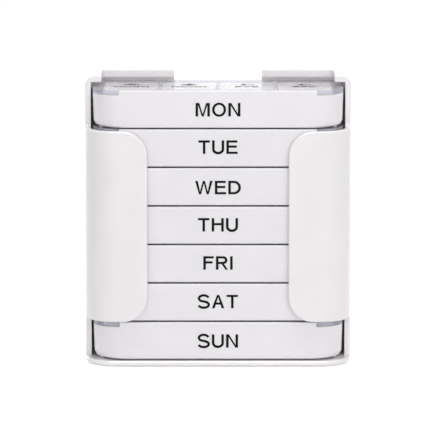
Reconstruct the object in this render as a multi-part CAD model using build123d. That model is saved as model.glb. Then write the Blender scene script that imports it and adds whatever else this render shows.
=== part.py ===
from build123d import *
import os

# Weekly pill organizer: a one-piece magazine that holds seven day boxes, one above the other.
# Millimetres. Z is up, X is the width and the front looks along -Y. The origin is the middle
# of the underside. Inside a day box, Y is the depth behind its front and Z starts at its base.

DAYS = ("monday", "tuesday", "wednesday", "thursday", "friday", "saturday", "sunday")

# Day box
box_width = 130.2  # across the lid
box_depth = 41.0
box_height = 19.45  # underside to lid top, without the runners
front_radius = 14.0  # plan corners at the front
rear_radius = 7.5
base_set_in = 0.6  # draft: how far the sides lean in at the underside
base_bevel = 0.4  # along the front and the rear of the underside
end_round = 2.6  # along its ends, as two flats
end_knee = 0.3  # where those meet, as a share of end_round
wall = 1.8
tray_floor = 1.6
compartments = 4
row_margin = 5.1  # beside the row of compartments, at each side of a box
divider = 1.6
lip_thickness = 1.6  # label panel where it stands up in front of the lid
lip_radius = 0.5
runner_width = 1.8
runner_height = 0.6
runner_setback = 9.0  # from the front and from the back of the box

# Clear lid
lid_height = 2.5
lid_fit = 0.1  # lid frame to the lip
lid_border = 1.5  # frame in front of the windows
bar_width = 1.4  # frame between two windows
ledge_depth = 1.2  # carries a flap's front edge
thumb_width = 12.0  # recess in the border, in front of a flap
thumb_drop = 0.9
flap_thickness = 1.6
flap_fit = 0.3  # round a flap, in its window
flap_drop_fit = 0.05  # under a flap, over its ledge
flap_bevel = 0.5
hinge_depth = 32.0  # flap hinge line, behind the box front
hinge_drop = 1.3  # hinge line below the lid top
pin_radius = 0.6  # of the rod along a working flap's rear edge, whose ends are the pins
pin_fit = 0.05
pin_reach = 0.6  # of a pin in its bar

# Magazine
stack_fit = 0.2  # under each box's runners
side_fit = 1.0
front_fit = 0.5
rear_fit = 0.5
floor_thickness = 3.0
side_wall = 2.9
rear_wall = 2.2
wing_wall = 2.0
corner_outer = 17.0  # plan corners at the front
corner_inner = 14.6
rear_outer = 10.0
rear_inner = 8.2
roof_thickness = 3.6
roof_gap = 2.5  # lid top to the roof's underside
roof_side_reach = 5.6  # roof past the inner side faces
roof_rear_reach = 7.0  # roof past the inner rear face
roof_corner = 2.6
top_radius = 5.0
bottom_bevel = 1.2
wing_gap = 73.2  # between the two wings
wing_top_drop = 0.8  # wings' top below the top of the second box
wing_foot_rise = 0.45  # wings' foot above the lid of the lowest box
wing_corner = 13.0
wing_root = 3.0  # where a wing's edge turns up or down the side wall
front_bevel = 0.6  # along the wings' and the floor's front edges
mouth_depth = 15.0  # open corners in front of the top and the lowest box
notch_width = 45.6
notch_depth = 15.0  # finger notch, below the roof
notch_corner = 6.0

# What follows from them
box_pitch = box_height + runner_height + stack_fit
first_base = floor_thickness + stack_fit + runner_height
stack_top = first_base + (len(DAYS) - 1) * box_pitch + box_height
roof_under = stack_top + roof_gap
holder_height = roof_under + roof_thickness
inner_width = box_width + 2 * side_fit
holder_width = inner_width + 2 * side_wall
inner_front = -front_fit
inner_back = box_depth + rear_fit
outer_front = inner_front - wing_wall
outer_back = inner_back + rear_wall
box_front = -(outer_front + outer_back) / 2
wing_top = stack_top - box_pitch - wing_top_drop
wing_foot = first_base + box_height + wing_foot_rise

row_width = box_width - 2 * row_margin
compartment_pitch = row_width / compartments
tray_rim = box_height - lid_height
lip_width = box_width - 2 * front_radius
window_width = compartment_pitch - bar_width
window_front = lip_thickness + lid_fit + lid_border
window_back = hinge_depth + hinge_drop + flap_fit
flap_width = window_width - 2 * flap_fit
hinge_height = box_height - hinge_drop


def plan(width, front, back, front_corner, rear_corner):
    """Rectangle between two depths, with rounded front and rear corners."""
    face = Pos(0, (front + back) / 2) * Rectangle(width, back - front)
    face = fillet(face.vertices().group_by(Axis.Y)[-1], rear_corner)
    return fillet(face.vertices().group_by(Axis.Y)[0], front_corner)


def block(x, y, z):
    """Box between the given (low, high) pairs."""
    size = [high - low for low, high in (x, y, z)]
    return Pos(x[0], y[0], z[0]) * Box(*size, align=(Align.MIN,) * 3)


def box_outline(height, inset=0, end_inset=0):
    """A box's drafted plan outline at a height, set in all round and at its ends."""
    inset += base_set_in * (1 - height / box_height)
    width, back = box_width - 2 * (inset + end_inset), box_depth - inset
    return Pos(0, 0, height) * plan(width, inset, back, front_radius - inset, rear_radius - inset)


def box_form(foot, inset=0):
    """A box's drafted form from a foot height up to the lid top."""
    return loft([box_outline(foot, inset), box_outline(box_height, inset)], ruled=True)


def compartment_centres():
    return [(i - (compartments - 1) / 2) * compartment_pitch for i in range(compartments)]


def divider_centres():
    return [(i - compartments / 2) * compartment_pitch for i in range(1, compartments)]


def tray():
    """White tray with its label panel, dividers and two runners."""
    knee = end_knee * end_round
    foot = [box_outline(0, base_bevel, end_round), box_outline(knee, 0, knee)]
    body = loft([*foot, box_outline(end_round), box_outline(box_height)], ruled=True)
    panel_top = body.faces().sort_by(Axis.Z)[-1].edges().filter_by(Axis.X).sort_by(Axis.Y)[0]
    body = fillet(panel_top, lip_radius) - box_form(tray_floor, wall)
    half = box_width / 2
    above = (tray_rim, box_height + 1)
    body -= block((-half, half), (lip_thickness, box_depth), above)
    for side in (-1, 1):
        ends = sorted((side * lip_width / 2, side * half))
        body -= block(ends, (0, lip_thickness), above)
        inner = side * (row_width / 2 - bar_width / 2 + flap_fit)
        sides = sorted((inner, inner + side * runner_width))
        run = (runner_setback, box_depth - runner_setback)
        body += block(sides, run, (-runner_height, tray_floor / 2))
    for x in divider_centres():
        sides = (x - divider / 2, x + divider / 2)
        body += block(sides, (wall, box_depth - wall), (tray_floor / 2, tray_rim))
    return body


def hinge_rod(length, radius):
    """Round bar on the hinge line, centred on X = 0."""
    return Pos(0, hinge_depth, hinge_height) * Rot(0, 90, 0) * Cylinder(radius, length)


def lid_frame(working):
    """Clear frame: windows, ledges and thumb recesses. A working lid also has its pin bores."""
    frame = box_form(tray_rim)
    above = box_height + 1
    lip_room = lip_width / 2 + lid_fit
    frame -= block((-lip_room, lip_room), (-1, lip_thickness + lid_fit), (0, above))
    seat = box_height - flap_thickness - flap_drop_fit
    for x in compartment_centres():
        sides = (x - window_width / 2, x + window_width / 2)
        thumb = (x - thumb_width / 2, x + thumb_width / 2)
        frame -= block(sides, (window_front, window_back), (seat, above))
        frame -= block(sides, (window_front + ledge_depth, window_back), (0, above))
        frame -= block(thumb, (lip_thickness, window_front), (box_height - thumb_drop, above))
    if working:
        bore_length = row_width - bar_width + 2 * (pin_reach + flap_fit)
        frame -= hinge_rod(bore_length, pin_radius + pin_fit)
    return frame


def flap(working):
    """Clear flap at X = 0. A working flap has a rod along its rear edge, with pins at its ends."""
    sides = (-flap_width / 2, flap_width / 2)
    depths = (window_front + flap_fit, hinge_depth)
    plate = block(sides, depths, (box_height - flap_thickness, box_height))
    plate = chamfer(plate.edges().filter_by(Axis.X).sort_by(Axis.Y)[-2:], flap_bevel)
    if working:
        plate += hinge_rod(flap_width + 2 * (flap_fit + pin_reach), pin_radius)
    return plate


def wing_outline(side):
    """One wing seen from the front, as a face in X and Z that runs out past the side wall."""
    reach = holder_width / 2
    middle = side * (wing_gap / 2 + reach / 2)
    wing = Pos(middle, (wing_top + wing_foot) / 2) * Rectangle(reach, wing_top - wing_foot)
    corners = wing.vertices().group_by(Axis.X)
    return fillet(corners[0] if side > 0 else corners[-1], wing_corner)


def mouth():
    """What is open at the magazine's front: between the wings, and the top and lowest corners."""
    above = holder_height + roof_thickness
    span = above - floor_thickness
    opening = Pos(0, floor_thickness + span / 2) * Rectangle(2 * holder_width, span)
    for side in (-1, 1):
        opening -= wing_outline(side)
    form = extrude(Plane.XZ.offset(-mouth_depth) * opening, mouth_depth - outer_front + 1)
    wing_lines = form.faces().sort_by(Axis.Y)[-1].edges().filter_by(Axis.X).sort_by(Axis.Z)
    return fillet(wing_lines[1:-1], wing_root)


def roof_opening():
    """The opening in the roof, from the front to the rear flange."""
    width = inner_width - 2 * roof_side_reach
    back = inner_back - roof_rear_reach
    front = outer_front - 1
    face = Pos(0, (front + back) / 2) * Rectangle(width, back - front)
    face = fillet(face.vertices().group_by(Axis.Y)[-1], roof_corner)
    return extrude(Pos(0, 0, roof_under - 1) * face, roof_thickness + 2)


def finger_notch():
    """The notch through the roof and down the rear wall."""
    foot = roof_under - notch_depth
    above = holder_height + 1
    face = Pos(0, (foot + above) / 2) * Rectangle(notch_width, above - foot)
    face = fillet(face.vertices().group_by(Axis.Y)[0], notch_corner)
    front = inner_back - roof_rear_reach - 1
    return extrude(Plane.XZ.offset(-outer_back - 1) * face, outer_back + 1 - front)


def holder():
    """Magazine: floor, side walls, rear wall, roof flange and two wings round the front."""
    outline = plan(holder_width, outer_front, outer_back, corner_outer, rear_outer)
    room = plan(inner_width, inner_front, inner_back, corner_inner, rear_inner)
    body = extrude(outline, holder_height)
    body = fillet(body.faces().sort_by(Axis.Z)[-1].edges(), top_radius)
    body = chamfer(body.faces().sort_by(Axis.Z)[0].edges(), bottom_bevel)
    body -= extrude(Pos(0, 0, floor_thickness) * room, roof_under - floor_thickness)
    body = body - roof_opening() - finger_notch() - mouth()
    upright, level = (body.edges().filter_by(axis).group_by(Axis.Y)[0] for axis in (Axis.Z, Axis.X))
    wings, sill = upright.sort_by(Axis.X)[1:-1], level.sort_by(Axis.Z)[1]
    return chamfer([*wings, sill], front_bevel)


def main():
    os.makedirs("parts", exist_ok=True)
    export_step(Pos(0, box_front, 0) * holder(), "parts/holder.step")
    tray_solid = tray()
    for level, day in enumerate(reversed(DAYS)):
        place = Pos(0, box_front, first_base + level * box_pitch)
        working = day == DAYS[0]  # only the top box's flaps have room to open
        frame_solid, flap_solid = lid_frame(working), flap(working)
        export_step(place * tray_solid, f"parts/{day}_tray.step")
        export_step(place * frame_solid, f"parts/{day}_lid_frame.step")
        for number, x in enumerate(compartment_centres(), 1):
            export_step(place * Pos(x, 0, 0) * flap_solid, f"parts/{day}_flap_{number}.step")


main()
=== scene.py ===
import math

import bmesh
import bpy
from mathutils import Matrix, Vector


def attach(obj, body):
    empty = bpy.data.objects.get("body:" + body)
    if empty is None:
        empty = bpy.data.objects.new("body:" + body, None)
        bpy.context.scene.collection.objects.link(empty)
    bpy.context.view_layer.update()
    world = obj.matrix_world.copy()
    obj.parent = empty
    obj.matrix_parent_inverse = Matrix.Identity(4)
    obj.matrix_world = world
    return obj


# Weekly pill organizer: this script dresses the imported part, adds the printed words and marks and
# the hinge rods of the boxes whose flaps stay shut, and sets up floor, light and camera.

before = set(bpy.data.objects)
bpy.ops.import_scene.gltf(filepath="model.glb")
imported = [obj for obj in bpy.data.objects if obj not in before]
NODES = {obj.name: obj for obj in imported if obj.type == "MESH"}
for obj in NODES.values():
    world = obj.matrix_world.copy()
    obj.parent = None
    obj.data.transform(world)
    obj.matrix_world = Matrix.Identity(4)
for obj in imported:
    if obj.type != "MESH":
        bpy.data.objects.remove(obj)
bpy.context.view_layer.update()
MM = 0.001

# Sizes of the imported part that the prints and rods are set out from, in millimetres
DAYS = ("monday", "tuesday", "wednesday", "thursday", "friday", "saturday", "sunday")
BOX_FRONT = -20.6  # in Y
BOX_HEIGHT = 19.45
BOX_PITCH = 20.25
FIRST_BASE = 3.8  # underside of the lowest box
BASE_SET_IN = 0.6  # how far the label panel leans in at its foot
COMPARTMENT_X = (-45.0, -15.0, 15.0, 45.0)
HINGE_DEPTH = 32.0  # behind the box front
HINGE_DROP = 1.3  # below the lid top
PIN_RADIUS = 0.6

WORKING_BOX = "monday"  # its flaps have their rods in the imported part
DRAWERS = {"monday": "monday_drawer", "sunday": "sunday_drawer"}


def day_base(day):
    """Height of a box's underside, in millimetres."""
    return FIRST_BASE + (len(DAYS) - 1 - DAYS.index(day)) * BOX_PITCH


def body_of_box(day):
    return DRAWERS.get(day, "holder")


def body_of_flap(day, number):
    return f"monday_lid_{number}" if day == WORKING_BOX else body_of_box(day)


# ---------------------------------------------------------------- materials

NOISE_LOW, NOISE_HIGH = 0.3, 0.7  # the stretch of a noise's values that is spread out
EDGE_SAMPLES = 6
HELD_BACK = 0.06  # by a clear piece, of the light on its way to other surfaces


def new_material(name):
    material = bpy.data.materials.new(name)
    material.use_nodes = True
    tree = material.node_tree
    return material, tree, tree.nodes["Principled BSDF"]


def noise(tree, scale, detail, roughness=0.5, stretch=(1, 1, 1)):
    """Noise in object coordinates, at a scale given in features per metre."""
    coordinates = tree.nodes.new("ShaderNodeTexCoord")
    mapping = tree.nodes.new("ShaderNodeMapping")
    mapping.inputs["Scale"].default_value = stretch
    texture = tree.nodes.new("ShaderNodeTexNoise")
    texture.inputs["Scale"].default_value = scale
    texture.inputs["Detail"].default_value = detail
    texture.inputs["Roughness"].default_value = roughness
    tree.links.new(coordinates.outputs["Object"], mapping.inputs["Vector"])
    tree.links.new(mapping.outputs["Vector"], texture.inputs["Vector"])
    return texture.outputs["Fac"]


def ranged(tree, value, low, high):
    """A noise's middle spread out between two values."""
    node = tree.nodes.new("ShaderNodeMapRange")
    node.inputs["From Min"].default_value = NOISE_LOW
    node.inputs["From Max"].default_value = NOISE_HIGH
    node.inputs["To Min"].default_value = low
    node.inputs["To Max"].default_value = high
    tree.links.new(value, node.inputs["Value"])
    return node.outputs["Result"]


def tinted(tree, value, dark, light):
    """A colour between two, by a noise."""
    ramp = tree.nodes.new("ShaderNodeValToRGB")
    stops = ramp.color_ramp.elements
    stops[0].position, stops[1].position = NOISE_LOW, NOISE_HIGH
    stops[0].color, stops[1].color = (*dark, 1), (*light, 1)
    tree.links.new(value, ramp.inputs["Fac"])
    return ramp.outputs["Color"]


def bumped(tree, shader, value, distance, strength, edge=0.0):
    """Bump from a height, over edges softened by a small radius."""
    bump = tree.nodes.new("ShaderNodeBump")
    bump.inputs["Distance"].default_value = distance
    bump.inputs["Strength"].default_value = strength
    tree.links.new(value, bump.inputs["Height"])
    if edge:
        bevel = tree.nodes.new("ShaderNodeBevel")
        bevel.samples = EDGE_SAMPLES
        bevel.inputs["Radius"].default_value = edge
        tree.links.new(bevel.outputs["Normal"], bump.inputs["Normal"])
    tree.links.new(bump.outputs["Normal"], shader.inputs["Normal"])


def maximum(tree, first, second):
    node = tree.nodes.new("ShaderNodeMath")
    node.operation = "MAXIMUM"
    tree.links.new(first, node.inputs[0])
    tree.links.new(second, node.inputs[1])
    return node.outputs[0]


def moulded_white(name, dark, light, roughness, edge):
    """Satin white moulding: faint mottle, flow marks in the gloss and a fine spark-eroded grain."""
    material, tree, shader = new_material(name)
    mottle = noise(tree, scale=55, detail=3)
    flow = noise(tree, scale=160, detail=4, roughness=0.55, stretch=(1, 1, 0.35))
    grain = noise(tree, scale=2600, detail=2)
    gloss = ranged(tree, flow, roughness - 0.02, roughness + 0.025)
    tree.links.new(tinted(tree, mottle, dark, light), shader.inputs["Base Color"])
    tree.links.new(gloss, shader.inputs["Roughness"])
    shader.inputs["IOR"].default_value = 1.49
    shader.inputs["Subsurface Weight"].default_value = 0.35
    shader.inputs["Subsurface Radius"].default_value = (1.0, 0.98, 0.99)
    shader.inputs["Subsurface Scale"].default_value = 0.0022
    shader.inputs["Coat Weight"].default_value = 0.5
    shader.inputs["Coat Roughness"].default_value = 0.12
    bumped(tree, shader, grain, distance=0.00003, strength=0.22, edge=edge)
    return material


def clear_plastic(name, dark, light, roughness, haze):
    """Clear polystyrene with a haze and slight waves from the mould, which casts hardly a shadow."""
    material, tree, shader = new_material(name)
    waves = noise(tree, scale=90, detail=2)
    scuffs = noise(tree, scale=420, detail=5, roughness=0.6)
    gloss = ranged(tree, scuffs, roughness, roughness + 0.05)
    tree.links.new(tinted(tree, waves, dark, light), shader.inputs["Base Color"])
    tree.links.new(gloss, shader.inputs["Roughness"])
    path = tree.nodes.new("ShaderNodeLightPath")
    passing = maximum(tree, path.outputs["Is Shadow Ray"], path.outputs["Is Diffuse Ray"])
    opacity = tree.nodes.new("ShaderNodeMapRange")
    opacity.inputs["To Min"].default_value = 1.0
    opacity.inputs["To Max"].default_value = HELD_BACK
    tree.links.new(passing, opacity.inputs["Value"])
    tree.links.new(opacity.outputs["Result"], shader.inputs["Alpha"])
    shader.inputs["Transmission Weight"].default_value = 1.0 - haze
    shader.inputs["IOR"].default_value = 1.5
    bumped(tree, shader, waves, distance=0.00006, strength=0.25)
    return material


def printed_ink(name, dark, light, roughness):
    """Pad-printed ink: nearly flat, with a faint unevenness in tone and gloss."""
    material, tree, shader = new_material(name)
    tone = noise(tree, scale=900, detail=4, roughness=0.6)
    gloss = ranged(tree, tone, roughness - 0.08, roughness + 0.1)
    tree.links.new(tinted(tree, tone, dark, light), shader.inputs["Base Color"])
    tree.links.new(gloss, shader.inputs["Roughness"])
    shader.inputs["Specular IOR Level"].default_value = 0.12
    bumped(tree, shader, tone, distance=0.000008, strength=0.3)
    return material


HOLDER_WHITE = moulded_white(
    "holder_white_satin",
    dark=(0.838, 0.812, 0.828),
    light=(0.862, 0.838, 0.853),
    roughness=0.30,
    edge=0.00035,
)
TRAY_WHITE = moulded_white(
    "tray_white_satin",
    dark=(0.822, 0.800, 0.822),
    light=(0.846, 0.825, 0.846),
    roughness=0.32,
    edge=0.0003,
)
# Clear plastic with a faint blue tint, made darker and bluer than the flaps as painted shade: the rims
# look dark where one sees through them into the shaded inside of the boxes
LID_CLEAR_WITH_PAINTED_SHADE = clear_plastic(
    "lid_clear_plastic_with_painted_shade",
    dark=(0.71, 0.72, 0.81),
    light=(0.76, 0.77, 0.85),
    roughness=0.03,
    haze=0.36,
)
FLAP_CLEAR = clear_plastic(
    "flap_clear_plastic",
    dark=(0.92, 0.91, 0.93),
    light=(0.95, 0.94, 0.96),
    roughness=0.16,
    haze=0.45,
)
BLACK_INK = printed_ink(
    "label_ink",
    dark=(0.003, 0.003, 0.003),
    light=(0.006, 0.006, 0.006),
    roughness=0.6,
)
GREY_INK = printed_ink(
    "lid_ink",
    dark=(0.006, 0.006, 0.007),
    light=(0.012, 0.012, 0.014),
    roughness=0.55,
)


def dress(node, material):
    mesh = NODES[node].data
    mesh.materials.clear()
    mesh.materials.append(material)


def dress_part():
    dress("holder", HOLDER_WHITE)
    for day in DAYS:
        dress(f"{day}_tray", TRAY_WHITE)
        dress(f"{day}_lid_frame", LID_CLEAR_WITH_PAINTED_SHADE)
        for number in range(1, len(COMPARTMENT_X) + 1):
            dress(f"{day}_flap_{number}", FLAP_CLEAR)


# ---------------------------------------------------------------- outlines, as lists of (x, y)


def oval(cx, cy, rx, ry, start=0.0, end=360.0, steps=40):
    """Points round an oval. Those of a part of it include both its ends."""
    points = []
    for i in range(steps + (end - start < 360)):
        turn = math.radians(start + (end - start) * i / steps)
        points.append((cx + rx * math.cos(turn), cy + ry * math.sin(turn)))
    return points


def bar(x0, x1, y0, y1):
    return [(x0, y0), (x1, y0), (x1, y1), (x0, y1)]


def bowl(left, right, low, high):
    """Outline with a straight left side and a round right side."""
    radius = (high - low) / 2
    flat = max(right - radius, left)
    return [(left, high), (left, low), *oval(flat, low + radius, right - flat, radius, -90, 90, 18)]


def ribbon(path, width):
    """Outline of a stroke of even width along a smooth path."""
    left, right = [], []
    for i, point in enumerate(path):
        before, after = path[max(i - 1, 0)], path[min(i + 1, len(path) - 1)]
        along = (Vector(after) - Vector(before)).normalized()
        across = Vector((-along.y, along.x)) * width / 2
        left.append(tuple(Vector(point) + across))
        right.append(tuple(Vector(point) - across))
    return left + right[::-1]


def mirrored(left, width, crotch):
    """Outline from an inner corner on the middle line, round a left half and its mirror image."""
    return [(width / 2, crotch), *left, *((width - x, y) for x, y in left[::-1])]


# ---------------------------------------------------------------- flat closed meshes of ink

INK = 0.03  # the ink reaches this far to each side of its plane


def layer(bm, outline, height):
    return [bm.verts.new((x * MM, y * MM, height * MM)) for x, y in outline]


def prism(bm, outline):
    """Adds a flat prism over an outline in millimetres."""
    low, high = layer(bm, outline, -INK), layer(bm, outline, INK)
    bm.faces.new(low[::-1])
    bm.faces.new(high)
    for i in range(len(outline)):
        j = (i + 1) % len(outline)
        bm.faces.new((low[i], low[j], high[j], high[i]))


def ring(bm, outer, inner):
    """Adds a flat ring between two outlines with as many points each."""
    outer_low, outer_high = layer(bm, outer, -INK), layer(bm, outer, INK)
    inner_low, inner_high = layer(bm, inner, -INK), layer(bm, inner, INK)
    for i in range(len(outer)):
        j = (i + 1) % len(outer)
        bm.faces.new((outer_low[i], outer_low[j], outer_high[j], outer_high[i]))
        bm.faces.new((inner_low[j], inner_low[i], inner_high[i], inner_high[j]))
        bm.faces.new((outer_high[i], outer_high[j], inner_high[j], inner_high[i]))
        bm.faces.new((outer_low[j], outer_low[i], inner_low[i], inner_low[j]))


def crescent(bm, outer, inner):
    """Adds a flat crescent between two arcs that share their end points."""
    low, high = [], []
    for sheet, height in ((low, -INK), (high, INK)):
        rim, bite = layer(bm, outer, height), layer(bm, inner[1:-1], height)
        sheet.extend((rim, [rim[0], *bite, rim[-1]]))
    for i in range(len(outer) - 1):
        for rim, bite in (low, high):
            corners = dict.fromkeys((rim[i], rim[i + 1], bite[i + 1], bite[i]))  # three at a horn
            bm.faces.new(tuple(corners))
        for below, above in zip(low, high):
            bm.faces.new((below[i], below[i + 1], above[i + 1], above[i]))


def to_mesh(bm, name):
    bmesh.ops.recalc_face_normals(bm, faces=bm.faces)
    mesh = bpy.data.meshes.new(name)
    bm.to_mesh(mesh)
    bm.free()
    return mesh


# ---------------------------------------------------------------- plain sans capitals

# Their sizes are shares of the cap height
STEM = 0.185  # width of an upright stroke
BAR = 0.162  # height of a level stroke
SLANT = 1.08 * STEM  # width of a slanting stroke at its foot
JOIN = 0.9  # share of a stroke after which another one starts
ARM_FOOT = 0.46  # underside of a middle arm
OVERSHOOT = 0.02  # of a round letter past the cap height
LETTER_GAP = 0.16

# Each letter_ function gives a letter's width, its solid outlines and its rings


def hollow_bowl(right, low, high):
    """Outer and inner outline of a bowl on a stem."""
    return bowl(0, right, low, high), bowl(STEM, right - STEM, low + BAR, high - BAR)


def stem_with_arms(top_reach, middle_reach):
    top, arm = 1 - BAR, ARM_FOOT + BAR
    outline = [(0, 0), (STEM, 0), (STEM, ARM_FOOT), (middle_reach, ARM_FOOT), (middle_reach, arm)]
    return [*outline, (STEM, arm), (STEM, top), (top_reach, top), (top_reach, 1), (0, 1)]


def letter_a():
    width, half_apex, crotch = 0.91, 0.08, 0.83
    inset, underside, height = 0.2, 0.27, 0.95 * BAR
    left = [(SLANT, 0), (0, 0), (width / 2 - half_apex, 1)]
    crossbar = bar(inset, width - inset, underside, underside + height)
    return width, [mirrored(left, width, crotch), crossbar], []


def letter_b():
    width, upper_width, waist, overlap = 0.84, 0.78, 0.5, 0.06
    lower = hollow_bowl(width, 0, waist + overlap)
    upper = hollow_bowl(upper_width, waist - overlap, 1)
    return width, [], [lower, upper]


def letter_d():
    width = 0.92
    return width, [], [hollow_bowl(width, 0, 1)]


def letter_e():
    width, top_reach, middle_reach = 0.82, 0.8, 0.76
    return width, [stem_with_arms(top_reach, middle_reach), bar(JOIN * STEM, width, 0, BAR)], []


def letter_f():
    width, middle_reach = 0.76, 0.68
    return width, [stem_with_arms(width, middle_reach)], []


def letter_h():
    width, underside, inset = 0.88, 0.47, JOIN * STEM
    stems = [bar(0, STEM, 0, 1), bar(width - STEM, width, 0, 1)]
    return width, [*stems, bar(inset, width - inset, underside, underside + BAR)], []


def letter_i():
    return STEM, [bar(0, STEM, 0, 1)], []


def letter_m():
    width, shoulder, dip, half_foot = 1.04, 1.45 * STEM, 0.16, 0.07
    left = [(shoulder, 1), (0, 1), (0, 0), (STEM, 0), (STEM, 1 - dip), (width / 2 - half_foot, 0)]
    return width, [mirrored(left, width, dip)], []


def letter_n():
    width, rise = 0.88, 0.79
    half = [(0, 0), (STEM, 0), (STEM, rise), (width - SLANT, 0), (width, 0)]
    return width, [half + [(width - x, 1 - y) for x, y in half]], []


def letter_o():
    width = 1.02
    rx, ry = width / 2, 0.5 + OVERSHOOT
    return width, [], [(oval(rx, 0.5, rx, ry), oval(rx, 0.5, rx - STEM, ry - BAR))]


def letter_r():
    width, head_width, waist = 0.88, 0.84, 0.42
    leg_left, leg_top, leg_width = 0.38, 0.47, 0.18
    leg_right = leg_left + leg_width
    leg = [(leg_left, leg_top), (width - leg_width, 0), (width, 0), (leg_right, leg_top)]
    return width, [bar(0, STEM, 0, leg_top), leg], [hollow_bowl(head_width, waist, 1)]


def letter_s():
    width, middle, lower_middle = 0.86, 0.42, 0.265
    upper_rx, lower_rx, ry = 0.35, 0.37, 0.225
    upper = oval(middle, 1 - lower_middle, upper_rx, ry, 12, 270, 20)
    lower = oval(middle, lower_middle, lower_rx, ry, 90, -168, 20)
    return width, [ribbon(upper + lower[1:], 0.96 * STEM)], []


def letter_t():
    width = 0.84
    middle, half = width / 2, STEM / 2
    return width, [bar(0, width, 1 - BAR, 1), bar(middle - half, middle + half, 0, 1 - JOIN * BAR)], []


def letter_u():
    width, turn_height = 0.88, 0.35
    middle, half = width / 2, STEM / 2
    turn = oval(middle, turn_height, middle - half, turn_height - BAR / 2 + OVERSHOOT, 180, 360, 22)
    return width, [ribbon([(half, 1), *turn, (width - half, 1)], STEM)], []


def letter_v():
    width, stroke, half_foot, crotch = 0.9, 0.15, 0.08, 0.17
    return width, [mirrored([(stroke, 1), (0, 1), (width / 2 - half_foot, 0)], width, crotch)], []


def letter_w():
    width, foot, half_tip, dip = 1.28, 0.36, 0.075, 0.2
    outer = [(foot + half_tip, 0), (foot - half_tip, 0), (0, 1), (1.05 * STEM, 1)]
    left = [*outer, (foot, dip), (width / 2 - half_tip, 1)]
    return width, [mirrored(left, width, 1 - dip)], []


LETTERS = {
    "A": letter_a(),
    "B": letter_b(),
    "D": letter_d(),
    "E": letter_e(),
    "F": letter_f(),
    "H": letter_h(),
    "I": letter_i(),
    "M": letter_m(),
    "N": letter_n(),
    "O": letter_o(),
    "R": letter_r(),
    "S": letter_s(),
    "T": letter_t(),
    "U": letter_u(),
    "V": letter_v(),
    "W": letter_w(),
}


def add_word(bm, word, cap_height, baseline=0.0):
    """Adds a word in the plane Z = 0, centred in X. Its sizes are in millimetres."""
    shapes = [LETTERS[letter] for letter in word]
    length = sum(width for width, _, _ in shapes) + LETTER_GAP * (len(word) - 1)
    start = -length / 2

    def placed(outline):
        return [((x + start) * cap_height, y * cap_height + baseline) for x, y in outline]

    for width, outlines, rings in shapes:
        for outline in outlines:
            prism(bm, placed(outline))
        for outer, inner in rings:
            ring(bm, placed(outer), placed(inner))
        start += width + LETTER_GAP


# ---------------------------------------------------------------- marks of the sun and the moon

# Before they are scaled, in millimetres and degrees
SUN_RADIUS = 1.45
RAY_GAP = 0.45
RAY_LENGTH = 1.0
RAY_WIDTH = 0.5
RAY_ANGLES = range(0, 360, 45)
RISING_RAY_ANGLES = range(22, 159, 34)
HORIZON = bar(-3.0, 3.0, -0.85, -0.35)
MOON_RADIUS = 2.0
MOON_HORN = 48  # angle to a horn's tip, about the moon's middle
BITE_RADIUS = 1.62
STAR_WAIST = 0.38  # share of a star's reach
STAR_TIPS = 4
EVENING_STARS = ((1.9, 0.9, 1.05),)  # x, y and reach
NIGHT_STARS = ((1.7, 1.0, 0.75), (2.6, -0.4, 0.55))


def ray(angle):
    turn = math.radians(angle)
    along = Vector((math.cos(turn), math.sin(turn)))
    across = Vector((-along.y, along.x)) * RAY_WIDTH / 2
    inner = along * (SUN_RADIUS + RAY_GAP)
    outer = along * (SUN_RADIUS + RAY_GAP + RAY_LENGTH)
    return [tuple(corner) for corner in (inner - across, outer - across, outer + across, inner + across)]


def sun_mark(bm, rising):
    """Sun with rays, or its upper half over the horizon."""
    if rising:
        prism(bm, oval(0, 0, SUN_RADIUS, SUN_RADIUS, 0, 180, 20))
        prism(bm, HORIZON)
    else:
        prism(bm, oval(0, 0, SUN_RADIUS, SUN_RADIUS, steps=28))
    for angle in RISING_RAY_ANGLES if rising else RAY_ANGLES:
        prism(bm, ray(angle))


def star(x, y, reach):
    points = []
    for i in range(2 * STAR_TIPS):
        radius = reach * STAR_WAIST if i % 2 else reach
        turn = math.pi * i / STAR_TIPS
        points.append((x + radius * math.cos(turn), y + radius * math.sin(turn)))
    return points


def moon_mark(bm, stars):
    """Crescent with small stars beside it."""
    horn = math.radians(MOON_HORN)
    bite_horn = math.asin(MOON_RADIUS * math.sin(horn) / BITE_RADIUS)
    shift = MOON_RADIUS * math.cos(horn) - BITE_RADIUS * math.cos(bite_horn)
    turn = math.degrees(bite_horn)
    rim = oval(0, 0, MOON_RADIUS, MOON_RADIUS, MOON_HORN, 360 - MOON_HORN, 24)
    bite = oval(shift, 0, BITE_RADIUS, BITE_RADIUS, turn, 360 - turn, 24)
    crescent(bm, rim, bite)
    for x, y, reach in stars:
        prism(bm, star(x, y, reach))


# ---------------------------------------------------------------- pieces

# In millimetres
LABEL_CAP = 7.1
LABELS = {  # word, and height of its baseline over the box's underside
    "monday": ("MON", 6.0),
    "tuesday": ("TUE", 6.7),
    "wednesday": ("WED", 5.8),
    "thursday": ("THU", 6.5),
    "friday": ("FRI", 6.7),
    "saturday": ("SAT", 6.6),
    "sunday": ("SUN", 6.0),
}
PANEL_LEAN = math.atan2(BASE_SET_IN, BOX_HEIGHT)

PRINT_DEPTH = 21.4  # of a flap print's origin, behind the box front
PRINT_CAP = 4.2
PRINT_BASELINE = -7.6
MARK_MIDDLE = 2.4
MARK_SCALE = 1.5
PARTS_OF_DAY = (
    ("MORN", sun_mark, True),
    ("NOON", sun_mark, False),
    ("EVE", moon_mark, EVENING_STARS),
    ("BED", moon_mark, NIGHT_STARS),
)

ROD_LENGTH = 29.8
ROD_BEVEL = 0.15
ROD_END = 0.75  # share of the radius at the ends
ROD_SIDES = 20


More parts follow.
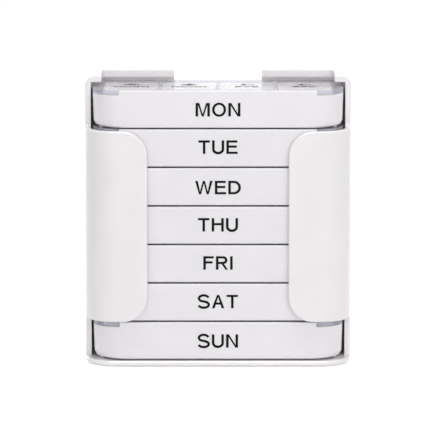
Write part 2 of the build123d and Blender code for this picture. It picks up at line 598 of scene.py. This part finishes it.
def add_piece(name, mesh, material, body):
    mesh.name = name
    mesh.materials.append(material)
    piece = bpy.data.objects.new(name, mesh)
    bpy.context.scene.collection.objects.link(piece)
    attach(piece, body)


def moved(x, y, z):
    """A move by millimetres."""
    return Matrix.Translation((x * MM, y * MM, z * MM))


def add_label(day):
    """The weekday on a box's label panel, which leans a little."""
    word, baseline = LABELS[day]
    bm = bmesh.new()
    add_word(bm, word, LABEL_CAP)
    mesh = to_mesh(bm, "label")
    upright = Matrix.Rotation(math.radians(90) + PANEL_LEAN, 4, "X")
    lean = BASE_SET_IN * (1 - baseline / BOX_HEIGHT)
    mesh.transform(moved(0, BOX_FRONT + lean, day_base(day) + baseline) @ upright)
    add_piece(f"{day}_label", mesh, BLACK_INK, body_of_box(day))


def add_print(day, number, x):
    """A part of the day on a flap: a small mark above a small word."""
    word, draw_mark, kind = PARTS_OF_DAY[number - 1]
    bm = bmesh.new()
    draw_mark(bm, kind)
    bmesh.ops.scale(bm, verts=bm.verts, vec=(MARK_SCALE, MARK_SCALE, 1))
    bmesh.ops.translate(bm, verts=bm.verts, vec=(0, MARK_MIDDLE * MM, 0))
    add_word(bm, word, PRINT_CAP, PRINT_BASELINE)
    mesh = to_mesh(bm, "print")
    mesh.transform(moved(x, BOX_FRONT + PRINT_DEPTH, day_base(day) + BOX_HEIGHT))
    add_piece(f"{day}_print_{number}", mesh, GREY_INK, body_of_flap(day, number))


def rod_mesh():
    """Closed round rod along X with small bevels at its ends."""
    bm = bmesh.new()
    end, shoulder = ROD_LENGTH / 2, ROD_LENGTH / 2 - ROD_BEVEL
    tip = ROD_END * PIN_RADIUS
    hoops = []
    for x, radius in ((-end, tip), (-shoulder, PIN_RADIUS), (shoulder, PIN_RADIUS), (end, tip)):
        circle = oval(0, 0, radius, radius, steps=ROD_SIDES)
        hoops.append([bm.verts.new((x * MM, y * MM, z * MM)) for y, z in circle])
    bm.faces.new(hoops[0])
    bm.faces.new(hoops[-1][::-1])
    for hoop, following in zip(hoops, hoops[1:]):
        for i in range(ROD_SIDES):
            j = (i + 1) % ROD_SIDES
            bm.faces.new((hoop[i], following[i], following[j], hoop[j]))
    mesh = to_mesh(bm, "rod")
    for polygon in mesh.polygons:
        polygon.use_smooth = len(polygon.vertices) < ROD_SIDES
    return mesh


def add_hinge_rod(day, number, x):
    """The rod along a shut flap's rear edge."""
    mesh = rod_mesh()
    mesh.transform(moved(x, BOX_FRONT + HINGE_DEPTH, day_base(day) + BOX_HEIGHT - HINGE_DROP))
    add_piece(f"{day}_hinge_rod_{number}", mesh, FLAP_CLEAR, body_of_box(day))


def add_pieces():
    for day in DAYS:
        add_label(day)
    for day in DAYS:
        for number, x in enumerate(COMPARTMENT_X, 1):
            add_print(day, number, x)
            if day != WORKING_BOX:
                add_hinge_rod(day, number, x)


# ---------------------------------------------------------------- floor, light and camera

# In metres, degrees and watts
FLOOR_REACH = 8.0
FLOOR_COLOUR = (0.86, 0.86, 0.87, 1)
FLOOR_GLOW = 0.5
WHITE = (1, 1, 1, 1)
WORLD_LIGHT = 0.54
LAMPS = {  # place, target, width and height, power
    "key": ((0.75, -0.95, 0.62), (0, 0, 0.08), (0.5, 0.5), 2.3),
    "front": ((-0.1, -1.3, 0.17), (0, 0, 0.075), (1.1, 0.35), 2.45),
    "top": ((0, -0.22, 1.15), (0, 0, 0.05), (0.9, 0.12), 4.8),
    "rear": ((-0.35, 1.5, 0.11), (0, 0, 0.09), (1.2, 0.18), 6.0),
}
CAMERA_LENS = 411.0  # in millimetres
CAMERA_AIM = 0.07487  # height of the point that it looks at, on the part's middle line
CAMERA_ELEVATION = 9.27
CAMERA_DISTANCE = 2.6
CAMERA_CLIP = 0.05


def seen_white(tree):
    """1 for rays that come from the camera, a reflection or through clear plastic."""
    path = tree.nodes.new("ShaderNodeLightPath")
    reflected = maximum(tree, path.outputs["Is Camera Ray"], path.outputs["Is Glossy Ray"])
    return maximum(tree, reflected, path.outputs["Is Transmission Ray"])


def floor_paper():
    """White paper that glows a little where it is seen, and so keeps only the part's own shadow."""
    material = bpy.data.materials.new("floor_paper")
    material.use_nodes = True
    tree = material.node_tree
    tree.nodes.clear()
    output = tree.nodes.new("ShaderNodeOutputMaterial")
    diffuse = tree.nodes.new("ShaderNodeBsdfDiffuse")
    diffuse.inputs["Color"].default_value = FLOOR_COLOUR
    glow = tree.nodes.new("ShaderNodeEmission")
    glow.inputs["Color"].default_value = WHITE
    strength = tree.nodes.new("ShaderNodeMath")
    strength.operation = "MULTIPLY"
    strength.inputs[1].default_value = FLOOR_GLOW
    tree.links.new(seen_white(tree), strength.inputs[0])
    tree.links.new(strength.outputs[0], glow.inputs["Strength"])
    both = tree.nodes.new("ShaderNodeAddShader")
    tree.links.new(diffuse.outputs[0], both.inputs[0])
    tree.links.new(glow.outputs[0], both.inputs[1])
    tree.links.new(both.outputs[0], output.inputs["Surface"])
    return material


def make_floor():
    mesh = bpy.data.meshes.new("floor")
    corners = [(x, y, 0) for x, y in bar(-FLOOR_REACH, FLOOR_REACH, -FLOOR_REACH, FLOOR_REACH)]
    mesh.from_pydata(corners, [], [(0, 1, 2, 3)])
    mesh.materials.append(floor_paper())
    floor = bpy.data.objects.new("floor", mesh)
    bpy.context.scene.collection.objects.link(floor)


def make_world():
    world = bpy.data.worlds.new("studio")
    bpy.context.scene.world = world
    world.use_nodes = True
    tree = world.node_tree
    background = tree.nodes["Background"]
    background.inputs["Color"].default_value = WHITE
    strength = tree.nodes.new("ShaderNodeMapRange")
    strength.inputs["To Min"].default_value = WORLD_LIGHT
    strength.inputs["To Max"].default_value = 1.0
    tree.links.new(seen_white(tree), strength.inputs["Value"])
    tree.links.new(strength.outputs["Result"], background.inputs["Strength"])


def look_at(thing, place, target):
    thing.location = place
    thing.rotation_euler = (Vector(target) - Vector(place)).to_track_quat("-Z", "Y").to_euler()


def make_lamp(name, place, target, size, power):
    data = bpy.data.lights.new(name, "AREA")
    data.shape = "RECTANGLE"
    data.size, data.size_y = size
    data.energy = power
    lamp = bpy.data.objects.new(name, data)
    look_at(lamp, place, target)
    bpy.context.scene.collection.objects.link(lamp)


def make_camera():
    data = bpy.data.cameras.new("camera")
    data.lens = CAMERA_LENS
    data.clip_start = CAMERA_CLIP
    camera = bpy.data.objects.new("camera", data)
    aim = Vector((0, 0, CAMERA_AIM))
    tilt = math.radians(CAMERA_ELEVATION)
    look_at(camera, aim + Vector((0, -math.cos(tilt), math.sin(tilt))) * CAMERA_DISTANCE, aim)
    bpy.context.scene.collection.objects.link(camera)
    bpy.context.scene.camera = camera


dress_part()
add_pieces()
bpy.context.scene.view_settings.view_transform = "Standard"
make_floor()
make_world()
for lamp_name, settings in LAMPS.items():
    make_lamp(lamp_name, *settings)
make_camera()
